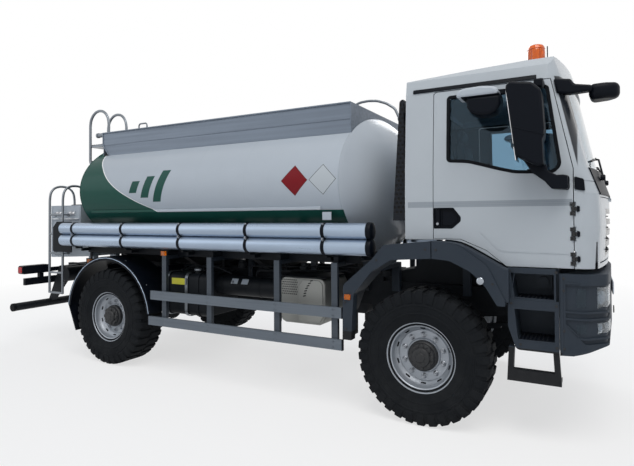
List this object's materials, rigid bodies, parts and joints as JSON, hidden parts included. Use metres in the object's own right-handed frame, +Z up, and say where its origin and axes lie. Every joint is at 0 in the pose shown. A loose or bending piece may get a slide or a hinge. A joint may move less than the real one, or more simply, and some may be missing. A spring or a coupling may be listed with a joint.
{
  "type": "tanker truck",
  "caption": "All-wheel-drive truck with a tilting cab, an elliptical tank under an open coaming, side hose tubes and a rear cabinet; wheels, steering, cab, doors and lids move.",
  "frame": {"origin": "middle of the footprint, on the ground", "axes": "+X forward, +Y to the left, +Z up"},
  "size_m": [7.48, 2.8908, 3.445],
  "materials": {
    "cab_white": "gloss",
    "white_paint": "gloss",
    "grey_paint": "satin",
    "chassis_black": "satin",
    "cast_grey": "matte",
    "black_plastic": "matte",
    "slate_plastic": "matte",
    "bare_steel": "satin",
    "grey_aluminium": "satin",
    "silver_aluminium": "satin",
    "rim_silver": "satin",
    "tyre": "matte",
    "glass": "clear",
    "lamp_lens": "gloss",
    "amber_lens": "gloss",
    "dark_trim": "matte"
  },
  "bodies": {
    "chassis": {"air_tanks": "chassis_black", "bumper": "slate_plastic", "cabinet": "white_paint", "coaming": "grey_paint", "crossmembers": "chassis_black", "driveline": "cast_grey", "frame_rails": "chassis_black", "front_axle": "chassis_black", "front_fenders": "slate_plastic", "fuel_tank": "black_plastic", "headlights": "lamp_lens", "hose_tubes": "silver_aluminium", "ladder": "bare_steel", "leaf_springs": "chassis_black", "marker_lamps": "amber_lens", "outlet_pipe": "bare_steel", "rear_axle": "chassis_black", "rear_mudguards": "black_plastic", "side_guards": "grey_aluminium", "silencer": "bare_steel", "step_boxes": "slate_plastic", "tail_lights": "black_plastic", "tank": "white_paint", "tank_cradle": "chassis_black", "tube_brackets": "black_plastic", "underrun_bar": "chassis_black", "vent_pipes": "bare_steel", "walkway": "bare_steel"},
    "cab": {"cab_shell": "cab_white", "windscreen": "glass", "front_panel": "black_plastic", "cab_interior": "dark_trim", "steering_column": "dark_trim", "air_intake": "black_plastic", "roof_fittings": "black_plastic"},
    "right_door": {"door_right": "cab_white", "door_glass_right": "glass", "mirrors_right": "black_plastic"},
    "left_door": {"door_left": "cab_white", "door_glass_left": "glass", "mirrors_left": "black_plastic"},
    "service_flap": {"front_flap": "cab_white"},
    "steering_wheel": {"steering_wheel": "dark_trim"},
    "right_knuckle": {"knuckle_right": "cast_grey"},
    "left_knuckle": {"knuckle_left": "cast_grey"},
    "tie_rod": {"tie_rod": "chassis_black"},
    "front_lid": {"manhole_lid": "bare_steel"},
    "rear_lid": {"rear_manhole_lid": "bare_steel"},
    "cabinet_hatch": {"cabinet_door": "white_paint"},
    "wheel_front_right": {"tyre_front_right": "tyre", "wheel_front_right": "rim_silver"},
    "wheel_front_left": {"tyre_front_left": "tyre", "wheel_front_left": "rim_silver"},
    "wheel_rear_right": {"tyre_rear_right": "tyre", "wheel_rear_right": "rim_silver"},
    "wheel_rear_left": {"tyre_rear_left": "tyre", "wheel_rear_left": "rim_silver"}
  },
  "joints": [
    {"name": "steer_right", "type": "hinge", "parent": "chassis", "child": "right_knuckle", "pos_m": [2.24, -0.9, 0.575], "axis": [0, 0, 1], "range_deg": [-36, 36]},
    {"name": "steer_left", "type": "hinge", "parent": "chassis", "child": "left_knuckle", "pos_m": [2.24, 0.9, 0.575], "axis": [0, 0, 1], "range_deg": [-36, 36]},
    {"name": "tie_rod_pivot", "type": "hinge", "parent": "right_knuckle", "child": "tie_rod", "pos_m": [2.065, -0.9, 0.515], "axis": [0, 0, 1], "range_deg": [-36, 36]},
    {"name": "steering_wheel_turn", "type": "hinge", "parent": "cab", "child": "steering_wheel", "pos_m": [2.93, 0.52, 2.235], "axis": [-0.5736, 0, 0.8192], "range_deg": [-648, 648]},
    {"name": "roll_front_right", "type": "hinge", "parent": "right_knuckle", "child": "wheel_front_right", "pos_m": [2.24, -1.04, 0.575], "axis": [0, 1, 0], "continuous": true},
    {"name": "roll_front_left", "type": "hinge", "parent": "left_knuckle", "child": "wheel_front_left", "pos_m": [2.24, 1.04, 0.575], "axis": [0, 1, 0], "continuous": true},
    {"name": "roll_rear_right", "type": "hinge", "parent": "chassis", "child": "wheel_rear_right", "pos_m": [-1.66, -1.04, 0.575], "axis": [0, 1, 0], "continuous": true},
    {"name": "roll_rear_left", "type": "hinge", "parent": "chassis", "child": "wheel_rear_left", "pos_m": [-1.66, 1.04, 0.575], "axis": [0, 1, 0], "continuous": true},
    {"name": "cab_tilt", "type": "hinge", "parent": "chassis", "child": "cab", "pos_m": [3.6, 0, 1.222], "axis": [0, 1, 0], "range_deg": [0, 60]},
    {"name": "door_right_swing", "type": "hinge", "parent": "cab", "child": "right_door", "pos_m": [3.412, -1.122, 2], "axis": [0, 0, 1], "range_deg": [0, 70]},
    {"name": "door_left_swing", "type": "hinge", "parent": "cab", "child": "left_door", "pos_m": [3.412, 1.122, 2], "axis": [0, 0, -1], "range_deg": [0, 70]},
    {"name": "flap_lift", "type": "hinge", "parent": "cab", "child": "service_flap", "pos_m": [3.68, 0, 1.922], "axis": [0, -1, 0], "range_deg": [0, 80]},
    {"name": "front_lid_lift", "type": "hinge", "parent": "chassis", "child": "front_lid", "pos_m": [0.44, 0, 2.9963], "axis": [0, -1, 0], "range_deg": [0, 100]},
    {"name": "rear_lid_lift", "type": "hinge", "parent": "chassis", "child": "rear_lid", "pos_m": [-1.06, 0, 2.9963], "axis": [0, -1, 0], "range_deg": [0, 100]},
    {"name": "hatch_lift", "type": "hinge", "parent": "chassis", "child": "cabinet_hatch", "pos_m": [-3.149, 0, 1.952], "axis": [0, 1, 0], "range_deg": [0, 95]}
  ],
  "couplings": [
    {"joint": "steer_left", "follows": "steer_right", "ratio": 1},
    {"joint": "tie_rod_pivot", "follows": "steer_right", "ratio": -1},
    {"joint": "steering_wheel_turn", "follows": "steer_right", "ratio": 18}
  ]
}
